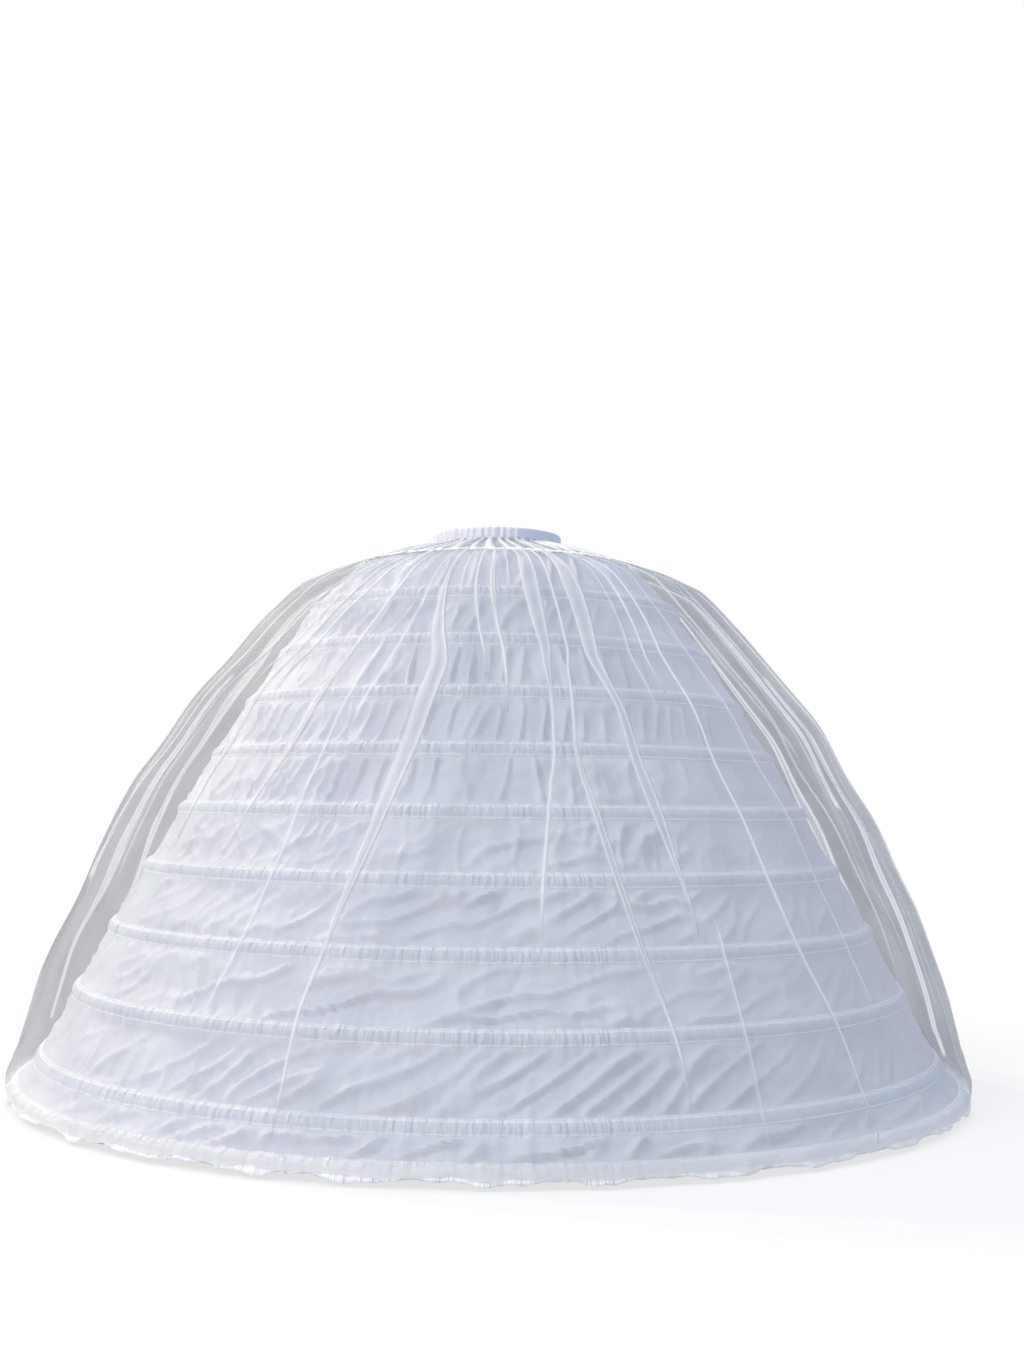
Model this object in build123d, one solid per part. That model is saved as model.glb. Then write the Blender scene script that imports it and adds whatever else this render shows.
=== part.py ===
from build123d import *
import math
import os

# Hooped petticoat, also called a crinoline cage: a gathered yoke hangs from an elastic
# waistband, a taffeta lining carries nine hoops and a hem hoop in sewn-on casings, and a
# net overlay billows from the yoke seam down to the hem.
# Millimetres, +Z up. The origin is the centre of the waist at the band's top edge.
# The front faces -Y. Angles are in degrees, counterclockwise from +X as seen from above.

# Waistband: cloth folded over an elastic, open at the bottom, where the yoke goes in
WAIST_RADIUS = 118.0
BAND_HEIGHT = 20.0
BAND_WALL = 1.0
ELASTIC_THICKNESS = 1.6
FLAT_ARC = 70.0            # the part of the band that holds no elastic
FLAT_MIDDLE = 325.0        # where that part faces: front, towards the wearer's left

# Yoke: a gathered strip from the waistband out to the seam that the net hangs from
YOKE_WALL = 1.5
YOKE_TUCK = 4.0            # how far its top edge goes up inside the band
YOKE_DROP = 2.0            # straight run below the band before it turns outwards
YOKE_RISE = 4.0            # how far its middle bulges above a straight line
SEAM_RADIUS = 256.0
SEAM_DROP = 60.0
SEAM_LAP = 10.0            # overlap of yoke, lining and net in the seam
SEAM_SLOPE = 18.0          # degrees below level

# Lining panels and the hoops' places on them
LINING_WALL = 1.0
SIDE_SEAMS = (210.0, 330.0)   # the front panel lies between them
BACK_SEAM = 90.0
HOOP_COUNT = 9
TOP_HOOP_RADIUS = 342.0
TOP_HOOP_DROP = 148.0
HEM_RADIUS = 848.0
HEM_DROP = 995.0           # to the middle of the hem band
HEM_INSET = 42.0           # the hem hoop's radius less that of the hoop above it
HEM_GAP = 49.0             # the height from the hem hoop to the hoop above it
SPACING_GROWTH = 0.15      # how much the spacing of the hoops grows towards the hem

# Casings, hoop boning and the sleeves that join each hoop's ends
CASING_WIDTH = 25.0
CASING_WALL = 1.0
CASING_RAMP = 2.5          # run of the sloping side of the raised channel
CASING_SLIT = 2.0          # gap between the two ends of a casing strip
HOOP_WIDTH = 7.0
HOOP_THICKNESS = 1.2
HOOP_END_GAP = 1.0
SLEEVE_LENGTH = 40.0
SLEEVE_WALL = 0.5
JOIN_ANGLE = 205.0         # where the casings and hoops are joined, behind a side seam

# Net overlay
NET_WALL = 0.8
NET_BILLOW = 100.0         # its widest distance from the lining
NET_STEPS = 16             # straight steps that stand for its curve
NET_CLEAR = 4.0            # its distance from the hem band's raised channel

# Clearances
FIT_GAP = 0.3              # loose pieces in a cloth channel
SLEEVE_GAP = 0.2           # hoop in its sleeve

channel_depth = HOOP_THICKNESS + 2 * (SLEEVE_GAP + SLEEVE_WALL + FIT_GAP)
channel_half_top = HOOP_WIDTH / 2 + SLEEVE_GAP + SLEEVE_WALL + FIT_GAP
channel_half_foot = channel_half_top + CASING_RAMP
hoop_floor = FIT_GAP + SLEEVE_WALL + SLEEVE_GAP


# Outlines are lists of (radius, height) that run from the waist towards the hem, so that
# their left side is the outside of the skirt.

def shifted(outline, distance):
    """Move an open outline to its left by distance, with mitred corners."""
    normals = []
    for (r0, z0), (r1, z1) in zip(outline, outline[1:]):
        length = math.hypot(r1 - r0, z1 - z0)
        normals.append(((z0 - z1) / length, (r1 - r0) / length))
    moved = []
    for (r, z), before, after in zip(outline, normals[:1] + normals, normals + normals[-1:]):
        scale = distance / (1 + before[0] * after[0] + before[1] * after[1])
        moved.append((r + (before[0] + after[0]) * scale, z + (before[1] + after[1]) * scale))
    return moved


def section(points):
    """Close a list of (radius, height) into a face beside the axis."""
    return make_face(Plane.XZ * Polyline(*points, close=True))


def cloth(outline, wall):
    """Section of a cloth layer that lies to the left of an outline, or right if negative."""
    return section(outline + shifted(outline, wall)[::-1])


def ring(face, start=0.0, arc=360.0):
    """Turn a section about the skirt's axis, counterclockwise from a start angle."""
    return Rot(0, 0, start) * revolve(face, Axis.Z, arc)


def open_ring(face, gap, radius):
    """A ring whose two ends stand gap apart at the joining angle."""
    gap_angle = math.degrees(gap / radius)
    return ring(face, JOIN_ANGLE + gap_angle / 2, 360 - gap_angle)


def slope_vector(degrees_down):
    angle = math.radians(degrees_down)
    return math.cos(angle), -math.sin(angle)


def towards(start, end):
    """Unit vector from one point to another."""
    length = math.dist(start, end)
    return (end[0] - start[0]) / length, (end[1] - start[1]) / length


def beside(station, along, out):
    """Point of a station's own frame: along is down the cloth, out is away from it."""
    (r, z), (dr, dz) = station
    return r + along * dr - out * dz, z + along * dz + out * dr


# The seam line: the last stretch of the yoke, with the lining below it and the net on it

seam_end = (SEAM_RADIUS, -SEAM_DROP)
seam_direction = slope_vector(SEAM_SLOPE)
seam_start = beside((seam_end, seam_direction), -SEAM_LAP, 0)


def hoop_stations():
    """Centre and direction of each hoop on the lining's outer face, the hem hoop last."""
    low_radius = HEM_RADIUS - HEM_INSET
    low_drop = HEM_DROP - HEM_GAP
    centres = []
    for index in range(HOOP_COUNT):
        part = index / (HOOP_COUNT - 1)
        radius = TOP_HOOP_RADIUS + (low_radius - TOP_HOOP_RADIUS) * part
        fall = part * (1 - SPACING_GROWTH) + SPACING_GROWTH * part ** 2
        centres.append((radius, -TOP_HOOP_DROP - (low_drop - TOP_HOOP_DROP) * fall))
    centres.append((HEM_RADIUS, -HEM_DROP))
    before = [seam_end] + centres[:-1]
    after = centres[1:] + centres[-1:]
    return [(centre, towards(a, b)) for centre, a, b in zip(centres, before, after)]


stations = hoop_stations()
station_names = [str(number + 1) for number in range(HOOP_COUNT)]


def waistband():
    outer_radius = WAIST_RADIUS + 2 * BAND_WALL + 2 * FIT_GAP + ELASTIC_THICKNESS
    outer_leaf = [(WAIST_RADIUS, -BAND_HEIGHT), (WAIST_RADIUS, 0),
                  (outer_radius, 0), (outer_radius, -BAND_HEIGHT)]
    return ring(cloth(outer_leaf, -BAND_WALL))


def waist_elastic():
    top = -BAND_WALL - FIT_GAP
    bottom = -BAND_HEIGHT + YOKE_TUCK + FIT_GAP
    inner = WAIST_RADIUS + BAND_WALL + FIT_GAP
    outer = inner + ELASTIC_THICKNESS
    face = section([(inner, top), (outer, top), (outer, bottom), (inner, bottom)])
    return ring(face, FLAT_MIDDLE + FLAT_ARC / 2, 360 - FLAT_ARC)


def yoke():
    top_radius = WAIST_RADIUS + BAND_WALL + YOKE_WALL
    turn = (top_radius, -BAND_HEIGHT - YOKE_DROP)
    middle = ((turn[0] + seam_start[0]) / 2, (turn[1] + seam_start[1]) / 2 + YOKE_RISE)
    outline = [(top_radius, -BAND_HEIGHT + YOKE_TUCK), turn, middle, seam_start, seam_end]
    return ring(cloth(outline, -YOKE_WALL))


def lining_section():
    seam = (seam_end, seam_direction)
    outline = [beside(seam, -SEAM_LAP, -YOKE_WALL), beside(seam, 0, -YOKE_WALL)]
    for station in stations:
        outline.append(beside(station, -CASING_WIDTH / 2, 0))
        outline.append(beside(station, CASING_WIDTH / 2, 0))
    return cloth(outline, -LINING_WALL)


def casing(station):
    """Strip sewn down along both edges, raised in the middle into the hoop's channel."""
    edge = CASING_WIDTH / 2
    profile = [(-edge, 0), (-channel_half_foot, 0), (-channel_half_top, channel_depth),
               (channel_half_top, channel_depth), (channel_half_foot, 0), (edge, 0)]
    outline = [beside(station, along, out) for along, out in profile]
    return open_ring(cloth(outline, CASING_WALL), CASING_SLIT, station[0][0])


def strip_section(station, half_width, floor, roof):
    corners = [(-half_width, floor), (half_width, floor), (half_width, roof), (-half_width, roof)]
    return section([beside(station, along, out) for along, out in corners])


def hoop(station):
    face = strip_section(station, HOOP_WIDTH / 2, hoop_floor, hoop_floor + HOOP_THICKNESS)
    return open_ring(face, HOOP_END_GAP, station[0][0])


def hoop_sleeve(station):
    """Flat tube round the two ends of a hoop, bent to the hoop's curve."""
    inner_half = HOOP_WIDTH / 2 + SLEEVE_GAP
    inner_floor = FIT_GAP + SLEEVE_WALL
    inner_roof = hoop_floor + HOOP_THICKNESS + SLEEVE_GAP
    outside = strip_section(station, inner_half + SLEEVE_WALL, FIT_GAP, inner_roof + SLEEVE_WALL)
    inside = strip_section(station, inner_half, inner_floor, inner_roof)
    arc = math.degrees(SLEEVE_LENGTH / station[0][0])
    return ring(outside - inside, JOIN_ANGLE - arc / 2, arc)


def side_line_point(side_line, fraction):
    """Station at a fraction of the length of the line from the seam to the hem."""
    lengths = [math.dist(a, b) for a, b in zip(side_line, side_line[1:])]
    left = fraction * sum(lengths)
    index = 0
    while left > lengths[index]:
        left -= lengths[index]
        index += 1
    direction = towards(side_line[index], side_line[index + 1])
    return beside((side_line[index], direction), left, 0), direction


def net_overlay():
    side_line = [seam_end] + [centre for centre, _ in stations]
    outline = [seam_start, seam_end]
    for step in range(1, NET_STEPS):
        fraction = step / NET_STEPS
        billow = NET_BILLOW * math.sqrt(math.sin(math.pi * fraction))
        outline.append(beside(side_line_point(side_line, fraction), 0, billow))
    hem = stations[-1]
    outline.append(beside(hem, channel_half_top, channel_depth + CASING_WALL + NET_CLEAR))
    outline.append(beside(hem, channel_half_foot + CASING_WALL, CASING_WALL))
    outline.append(beside(hem, CASING_WIDTH / 2, CASING_WALL))
    return ring(cloth(outline, NET_WALL))


def lining_panels():
    face = lining_section()
    left_seam, right_seam = SIDE_SEAMS
    return {
        "lining_front": ring(face, left_seam, right_seam - left_seam),
        "lining_back_left": ring(face, BACK_SEAM, left_seam - BACK_SEAM),
        "lining_back_right": ring(face, right_seam, BACK_SEAM + 360 - right_seam),
    }


def petticoat():
    nodes = {"waistband": waistband(), "waist_elastic": waist_elastic(), "yoke": yoke()}
    nodes.update(lining_panels())
    for number, station in zip(station_names, stations):
        nodes["casing_" + number] = casing(station)
        nodes["hoop_" + number] = hoop(station)
        nodes["hoop_sleeve_" + number] = hoop_sleeve(station)
    nodes["hem_band"] = casing(stations[-1])
    nodes["hem_hoop"] = hoop(stations[-1])
    nodes["hem_hoop_sleeve"] = hoop_sleeve(stations[-1])
    nodes["net_overlay"] = net_overlay()
    return nodes


os.makedirs("parts", exist_ok=True)
for name, shape in petticoat().items():
    export_step(shape, "parts/" + name + ".step")
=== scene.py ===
import bpy
import math
import numpy as np
from mathutils import Matrix, Vector


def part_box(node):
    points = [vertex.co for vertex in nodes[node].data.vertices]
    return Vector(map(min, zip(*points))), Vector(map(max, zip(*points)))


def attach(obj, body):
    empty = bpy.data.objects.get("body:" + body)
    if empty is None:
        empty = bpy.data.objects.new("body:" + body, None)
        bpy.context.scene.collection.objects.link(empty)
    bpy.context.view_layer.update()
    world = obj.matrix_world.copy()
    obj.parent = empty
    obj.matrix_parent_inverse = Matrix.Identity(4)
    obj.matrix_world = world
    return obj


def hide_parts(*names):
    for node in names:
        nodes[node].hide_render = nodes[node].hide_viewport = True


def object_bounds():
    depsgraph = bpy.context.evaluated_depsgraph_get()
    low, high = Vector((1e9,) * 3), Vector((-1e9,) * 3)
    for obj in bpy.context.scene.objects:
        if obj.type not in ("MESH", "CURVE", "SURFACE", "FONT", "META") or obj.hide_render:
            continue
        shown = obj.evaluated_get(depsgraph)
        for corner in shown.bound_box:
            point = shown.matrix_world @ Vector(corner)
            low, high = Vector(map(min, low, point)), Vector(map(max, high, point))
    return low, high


# Hooped petticoat. The cloth pieces below stand for the plain solids of the frame: a folded
# waistband, a gathered yoke, three lining panels, nine hoop casings, a hem band and a net
# overlay. Metres, +Z up, and the front faces -Y. Turns round the skirt are degrees from the
# front, growing towards the right-hand side of somebody who looks at the front.

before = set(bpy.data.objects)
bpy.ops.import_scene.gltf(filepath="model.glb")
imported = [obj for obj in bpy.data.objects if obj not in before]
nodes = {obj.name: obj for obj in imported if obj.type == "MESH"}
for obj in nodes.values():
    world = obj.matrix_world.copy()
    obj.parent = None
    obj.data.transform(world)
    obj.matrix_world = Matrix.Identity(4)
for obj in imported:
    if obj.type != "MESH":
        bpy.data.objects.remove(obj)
cad_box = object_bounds()

HOOPS = 9
CASING_HALF = 0.0125        # half the width of a casing strip
# Stitches and edges, partly painted highlight: place across the casing, width, and how much is
# thread
CASING_STITCHES_AND_HIGHLIGHTS = ((-0.0122, 0.0026, 0.49), (-0.0084, 0.0034, 0.46), (0.0116, 0.0026, 0.47))
NET_BILLOW = 0.100          # how far the net stands off the lining at its widest
SIDE_SEAM = 60.0            # turn of the two side seams of the lining
JOIN_TURN = -65.0           # where the casings and hoops are joined
FLAT_BAND = (20.0, 90.0)    # the part of the waistband that holds no elastic
WAIST_INNER = 0.1185        # inside radius of the waistband
RING_TO_CLOTH = 0.0037      # from a hoop's widest reach back to the lining's face
STITCH_ROOM = 0.012         # no crease starts nearer than this to the middle of a hoop


# -------- the skirt's outline

def ring_place(node):
    """Radius and middle height of a ring-shaped node."""
    low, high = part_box(node)
    return high.x - RING_TO_CLOTH, (low.z + high.z) / 2


def run_along(line):
    """How far along a line of points each one lies."""
    return np.concatenate(([0.0], np.cumsum(np.hypot(*np.diff(line, axis=0).T))))


seam_low, seam_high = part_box("yoke")
band_low, band_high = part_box("waistband")
hoop_names = ["hoop_%d" % number for number in range(1, HOOPS + 1)] + ["hem_hoop"]
side_line = np.array([(seam_high.x, seam_low.z + 0.002)] + [ring_place(n) for n in hoop_names])
reach = run_along(side_line)
hoop_reach = reach[1:]
slope = np.diff(side_line, axis=0) / np.diff(reach)[:, None]
slope = np.concatenate((slope[:1], (slope[:-1] + slope[1:]) / 2, slope[-1:]))


def on_lining(down, out):
    """Radius and height of a place: metres down the lining from the seam, and out from it."""
    radius = np.interp(down, reach, side_line[:, 0])
    height = np.interp(down, reach, side_line[:, 1])
    run = np.interp(down, reach, slope[:, 0])
    fall = np.interp(down, reach, slope[:, 1])
    past = np.maximum(down - reach[-1], 0)
    radius = radius + past * run
    height = height + past * fall
    return radius - out * fall, height + out * run


def turned(turn, radius, height):
    """Points at a turn from the front, in degrees."""
    angle = np.radians(turn)
    points = np.stack(np.broadcast_arrays(radius * np.sin(angle), -radius * np.cos(angle), height))
    return np.moveaxis(points, 0, -1)


def fade(value, start, end):
    """0 at start and 1 at end, with a soft turn at both."""
    part = np.clip((value - start) / (end - start), 0, 1)
    return part * part * (3 - 2 * part)


class Ripple:
    """Uneven waves round the skirt that close on themselves."""

    def __init__(self, count, seed, uneven=0.3):
        chance = np.random.default_rng(seed)
        count = 2 * max(2, int(round(count)))
        knots = (np.arange(count) + chance.uniform(-uneven, uneven, count)) / count * 360
        sizes = chance.uniform(0.35, 1.0, count)
        self.knots = np.concatenate((knots - 360, knots, knots + 360))
        self.sizes = np.tile(sizes, 3)
        self.steps = np.arange(3 * count, dtype=float)

    def read(self, turn):
        spot = np.mod(turn, 360)
        return np.interp(spot, self.knots, self.steps), np.interp(spot, self.knots, self.sizes)

    def wave(self, turn):
        step, size = self.read(turn)
        return np.cos(math.pi * step) * size

    def crest(self, turn):
        """0 in the valleys and up to 1 on sharp crests."""
        step, size = self.read(turn)
        return (1 - np.abs(np.mod(step, 2) - 1)) * size


def cloud(turn, down, size, seed, count=14):
    """Soft uneven swelling, from -1 to 1, with patches about size metres across."""
    chance = np.random.default_rng(seed)
    total = 0
    for _ in range(count):
        around = round(chance.normal(0, 0.6 / size))
        along = chance.normal(0, 1 / size)
        start = chance.uniform(0, 2 * math.pi)
        total = total + np.sin(np.radians(turn) * around + down * 2 * math.pi * along + start)
    return total / math.sqrt(count)


# -------- cloth from rows of points

def cloth_piece(name, points, chart, closed=False, marks=None):
    """A mesh from rows of points, top row first. chart holds each point's place on the cloth
    in metres, and when the rows close into rings it has one column more."""
    rows, columns = points.shape[:2]
    index = np.arange(rows * columns).reshape(rows, columns)
    place = np.arange(chart.shape[0] * chart.shape[1]).reshape(chart.shape[:2])
    if closed:
        index = np.concatenate((index, index[:, :1]), axis=1)
    corners = []
    for grid in (index, place):
        ring = (grid[:-1, :-1], grid[1:, :-1], grid[1:, 1:], grid[:-1, 1:])
        corners.append(np.stack(ring, axis=-1).reshape(-1))
    mesh = bpy.data.meshes.new(name)
    mesh.vertices.add(rows * columns)
    mesh.vertices.foreach_set("co", points.astype(np.float32).ravel())
    mesh.loops.add(len(corners[0]))
    mesh.loops.foreach_set("vertex_index", corners[0].astype(np.int32))
    mesh.polygons.add(len(corners[0]) // 4)
    mesh.polygons.foreach_set("loop_start", np.arange(0, len(corners[0]), 4, dtype=np.int32))
    mesh.update(calc_edges=True)
    mesh.uv_layers.new(name="cloth")
    flat = chart.reshape(-1, 2)[corners[1]].astype(np.float32)
    mesh.uv_layers["cloth"].data.foreach_set("uv", flat.ravel())
    for mark, values in (marks or {}).items():
        layer = mesh.attributes.new(mark, "FLOAT", "POINT")
        layer.data.foreach_set("value", values.astype(np.float32).ravel())
    mesh.shade_smooth()
    piece = bpy.data.objects.new(name, mesh)
    bpy.context.scene.collection.objects.link(piece)
    return piece


def settle(piece, material, stands_for):
    """Everything that a finished cloth piece says about itself."""
    piece.data.materials.append(material)
    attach(piece, "root")
    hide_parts(stands_for)


# -------- materials

SLUBS = (40, 900, 1)            # slubs lie along the weft, so they are long one way
SMALL_GATHERS = (165, 30, 1)    # gathers run across a strip
NET_CELLS = 3800                # radians of cell pattern in a metre of net
ELASTIC_RIBS = 4200.0           # radians of ribs in a metre of elastic's height
BRUSH_MARKS = (1, 1, 40)        # brush marks lie level, along the sleeve


def add_node(tree, kind, values=None, **settings):
    made = tree.nodes.new(kind)
    for setting, value in settings.items():
        setattr(made, setting, value)
    for socket, value in (values or {}).items():
        put(tree, made.inputs[socket], value)
    return made


def put(tree, socket, value):
    """A number, a colour or another node's output goes into a socket."""
    if isinstance(value, bpy.types.NodeSocket):
        tree.links.new(value, socket)
    else:
        socket.default_value = value


def reckon(tree, operation, *values):
    made = add_node(tree, "ShaderNodeMath", operation=operation)
    for number, value in enumerate(values):
        put(tree, made.inputs[number], value)
    return made.outputs[0]


def ramp(tree, value, low, high, to_low=0.0, to_high=1.0):
    made = add_node(tree, "ShaderNodeMapRange", interpolation_type="SMOOTHSTEP")
    for number, entry in enumerate((value, low, high, to_low, to_high)):
        put(tree, made.inputs[number], entry)
    return made.outputs[0]


def sockets_of(tree, place):
    """The X, Y and Z of a place."""
    return add_node(tree, "ShaderNodeSeparateXYZ", {"Vector": place}).outputs


def stretch(tree, place, scale):
    return add_node(tree, "ShaderNodeVectorMath", {0: place, 1: scale},
                    operation="MULTIPLY").outputs[0]


def noise(tree, place, scale, detail, roughness=0.5):
    return add_node(tree, "ShaderNodeTexNoise", {"Vector": place, "Scale": scale,
                                                 "Detail": detail, "Roughness": roughness}).outputs


def mark_of(tree, name):
    """A value that the cloth's own points carry."""
    return add_node(tree, "ShaderNodeAttribute", attribute_name=name).outputs["Fac"]


def blend_colours(tree, factor, first, second):
    made = add_node(tree, "ShaderNodeMix", data_type="RGBA")
    put(tree, made.inputs[0], factor)
    put(tree, made.inputs[6], first)
    put(tree, made.inputs[7], second)
    return made.outputs[2]


def effect_group(name, inputs, outputs):
    """An empty node group that gives out numbers. An input takes a number and starts at the
    one written with it, or takes a place if None is written."""
    group = bpy.data.node_groups.new(name, "ShaderNodeTree")
    for socket, value in inputs:
        kind = "NodeSocketVector" if value is None else "NodeSocketFloat"
        made = group.interface.new_socket(socket, in_out="INPUT", socket_type=kind)
        if value is not None:
            made.default_value = value
    for socket in outputs:
        group.interface.new_socket(socket, in_out="OUTPUT", socket_type="NodeSocketFloat")
    return group, group.nodes.new("NodeGroupInput"), group.nodes.new("NodeGroupOutput")


def make_weave():
    """Crossed threads: how high they stand, and a slight change of tone from thread to thread."""
    group, given, result = effect_group("plain weave", [("Place", None), ("Thread", 0.0008)],
                                        ["Height", "Tone"])
    axes = sockets_of(group, given.outputs["Place"])
    count = reckon(group, "DIVIDE", math.pi, given.outputs["Thread"])
    warp = reckon(group, "SINE", reckon(group, "MULTIPLY", axes["X"], count))
    weft = reckon(group, "SINE", reckon(group, "MULTIPLY", axes["Y"], count))
    crossing = reckon(group, "ABSOLUTE", reckon(group, "MULTIPLY", warp, weft))
    slubs = noise(group, stretch(group, given.outputs["Place"], SLUBS), 1.0, 2.0)
    put(group, result.inputs["Height"], crossing)
    put(group, result.inputs["Tone"], slubs["Fac"])
    return group


def make_crush():
    """Fine crush marks of stiff cloth: crisp lines over soft swelling."""
    group, given, result = effect_group("crushed cloth", [("Place", None), ("Size", 0.05)],
                                        ["Height", "Tone"])
    scale = reckon(group, "DIVIDE", 1.0, given.outputs["Size"])
    drift = noise(group, given.outputs["Place"], scale, 2.0)
    moved = add_node(group, "ShaderNodeVectorMath",
                     {0: drift["Color"], 1: (0.06, 0.06, 0.06), 2: given.outputs["Place"]},
                     operation="MULTIPLY_ADD")
    lines = noise(group, moved.outputs[0], scale, 3.0, 0.45)
    crisp = reckon(group, "ABSOLUTE", reckon(group, "SUBTRACT", lines["Fac"], 0.5))
    both = reckon(group, "MULTIPLY_ADD", crisp, 2.0, drift["Fac"])
    put(group, result.inputs["Height"], both)
    put(group, result.inputs["Tone"], drift["Fac"])
    return group


def make_stitching():
    """A run of stitches beside a line across the cloth's own chart."""
    group, given, result = effect_group(
        "stitch line",
        [("Place", None), ("Line", 0.0), ("Width", 0.0012), ("Pitch", 0.004), ("Gap", 0.42)],
        ["Mask"])
    axes = sockets_of(group, given.outputs["Place"])
    off = reckon(group, "ABSOLUTE", reckon(group, "SUBTRACT", axes["Y"], given.outputs["Line"]))
    band = ramp(group, off, given.outputs["Width"], 0.0)
    turn = reckon(group, "FRACT", reckon(group, "DIVIDE", axes["X"], given.outputs["Pitch"]))
    middle = reckon(group, "ABSOLUTE", reckon(group, "SUBTRACT", turn, 0.5))
    dash = ramp(group, middle, 0.5, given.outputs["Gap"])
    put(group, result.inputs["Mask"], reckon(group, "MULTIPLY", band, dash))
    return group


weave = make_weave()
crush = make_crush()
stitching = make_stitching()


def dress(tree, shader, colour, normal, rough=None):
    """Give a shader its colour, its relief and, where it varies, its roughness."""
    put(tree, shader.inputs["Base Color"], colour)
    put(tree, shader.inputs["Normal"], normal)
    if rough is not None:
        put(tree, shader.inputs["Roughness"], rough)


def use(tree, group, **values):
    made = add_node(tree, "ShaderNodeGroup", node_tree=group)
    for socket, value in values.items():
        put(tree, made.inputs[socket], value)
    return made


def start_material(name, roughness, sheen=0.0, tint=(1, 1, 1, 1)):
    material = bpy.data.materials.new(name)
    material.use_nodes = True
    tree = material.node_tree
    shader = tree.nodes["Principled BSDF"]
    shader.inputs["Roughness"].default_value = roughness
    shader.inputs["Sheen Weight"].default_value = sheen
    shader.inputs["Sheen Roughness"].default_value = 0.4
    shader.inputs["Sheen Tint"].default_value = tint
    return material, tree, shader


def cloth_chart(tree):
    return add_node(tree, "ShaderNodeUVMap", uv_map="cloth").outputs["UV"]


def skirt_place(tree):
    return add_node(tree, "ShaderNodeTexCoord").outputs["Object"]


def bump(tree, height, strength, distance, under=None):
    made = add_node(tree, "ShaderNodeBump",
                    {"Height": height, "Strength": strength, "Distance": distance})
    if under is not None:
        put(tree, made.inputs["Normal"], under)
    return made.outputs["Normal"]


def taffeta(name, dark, light, crush_size, crush_depth, thread=0.0008, stitches=(), gathers=0.0,
            crests=None):
    """White taffeta: plain weave, a soft shine, crush marks, small gathers and stitch lines painted
    near-white, partly as highlight; where crests are given, a painted highlight on them over
    painted-shade valleys.
    """
    material, tree, shader = start_material(name, 0.5, 0.15)
    shader.inputs["Specular IOR Level"].default_value = 0.3
    chart = cloth_chart(tree)
    crushed = use(tree, crush, Place=skirt_place(tree), Size=crush_size)
    woven = use(tree, weave, Place=chart, Thread=thread)
    tone = reckon(tree, "MULTIPLY_ADD", woven.outputs["Tone"], 0.35, crushed.outputs["Tone"])
    colour = blend_colours(tree, ramp(tree, tone, 0.35, 1.0), dark, light)
    # Painted light: where the crest mark is high the colour turns to the paler crest colour,
    # painted highlight over painted-shade valleys.
    if crests is not None:
        stand = ramp(tree, mark_of(tree, "crest"), 0.35, 0.90)
        colour = blend_colours(tree, stand, colour, crests)
    normal = bump(tree, crushed.outputs["Height"], 0.6, crush_depth)
    normal = bump(tree, woven.outputs["Height"], 0.25, 0.0002, normal)
    if gathers:
        folds = noise(tree, stretch(tree, chart, SMALL_GATHERS), 1.0, 1.5)
        height = reckon(tree, "MULTIPLY", folds["Fac"], mark_of(tree, "lively"))
        normal = bump(tree, height, 1.0, gathers, normal)
    # Stitch lines painted near-white: partly thread, partly painted highlight along the folded
    # edges.
    for line, width, share in stitches:
        run = use(tree, stitching, Place=chart, Line=line, Width=width, Gap=share)
        colour = blend_colours(tree, run.outputs["Mask"], colour, (0.99, 0.99, 0.99, 1))
        normal = bump(tree, run.outputs["Mask"], 0.8, 0.0008, normal)
    dress(tree, shader, colour, normal, ramp(tree, woven.outputs["Tone"], 0.2, 0.8, 0.46, 0.60))
    return material


def net_material():
    """Fine tulle: mostly holes, denser where the net is folded and painted near-white there as a
    highlight.
    Where it lies single, its inner face is painted dark grey and denser to camera rays: painted
    shade."""
    material, tree, shader = start_material("white net", 0.55, 0.2)
    chart = cloth_chart(tree)
    axes = sockets_of(tree, chart)
    cells = 0.0
    for turn in (0, 120, 240):    # three sets of waves make six-sided cells
        angle = math.radians(turn)
        across = reckon(tree, "MULTIPLY", axes["X"], NET_CELLS * math.cos(angle))
        way = reckon(tree, "MULTIPLY_ADD", axes["Y"], NET_CELLS * math.sin(angle), across)
        cells = reckon(tree, "ADD", reckon(tree, "COSINE", way), cells)
    mesh_lines = ramp(tree, cells, -0.6, -1.1)
    fold = mark_of(tree, "fold_density_and_highlight")
    patches = noise(tree, skirt_place(tree), 9.0, 1.0)
    haze = ramp(tree, patches["Fac"], 0.3, 0.7, 0.17, 0.26)
    threads = reckon(tree, "MULTIPLY_ADD", mesh_lines, 0.08, haze)
    dense = reckon(tree, "MULTIPLY_ADD", fold, 0.70, threads)
    # Painted shade: where the net lies single, its inner face seen by the camera is painted dark
    # grey and made denser.
    inner = add_node(tree, "ShaderNodeNewGeometry").outputs["Backfacing"]
    looked_at = add_node(tree, "ShaderNodeLightPath").outputs["Is Camera Ray"]
    inner = reckon(tree, "MULTIPLY", inner, looked_at)
    inner = reckon(tree, "MULTIPLY", inner, mark_of(tree, "single"))
    dense = reckon(tree, "MULTIPLY_ADD", inner, 0.50, dense)
    put(tree, shader.inputs["Alpha"], reckon(tree, "MINIMUM", dense, 0.97))
    # Painted shade and highlight: the plain net is painted pale grey, folds and pressed lines
    # near-white.
    plain_shade_and_fold_highlight = blend_colours(tree, ramp(tree, fold, 0.0, 0.6), (0.66, 0.68, 0.72, 1),
                           (0.98, 0.98, 0.985, 1))
    shaded = blend_colours(tree, inner, plain_shade_and_fold_highlight, (0.16, 0.18, 0.21, 1))
    dress(tree, shader, shaded, bump(tree, mesh_lines, 0.05, 0.0002))
    return material


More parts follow.
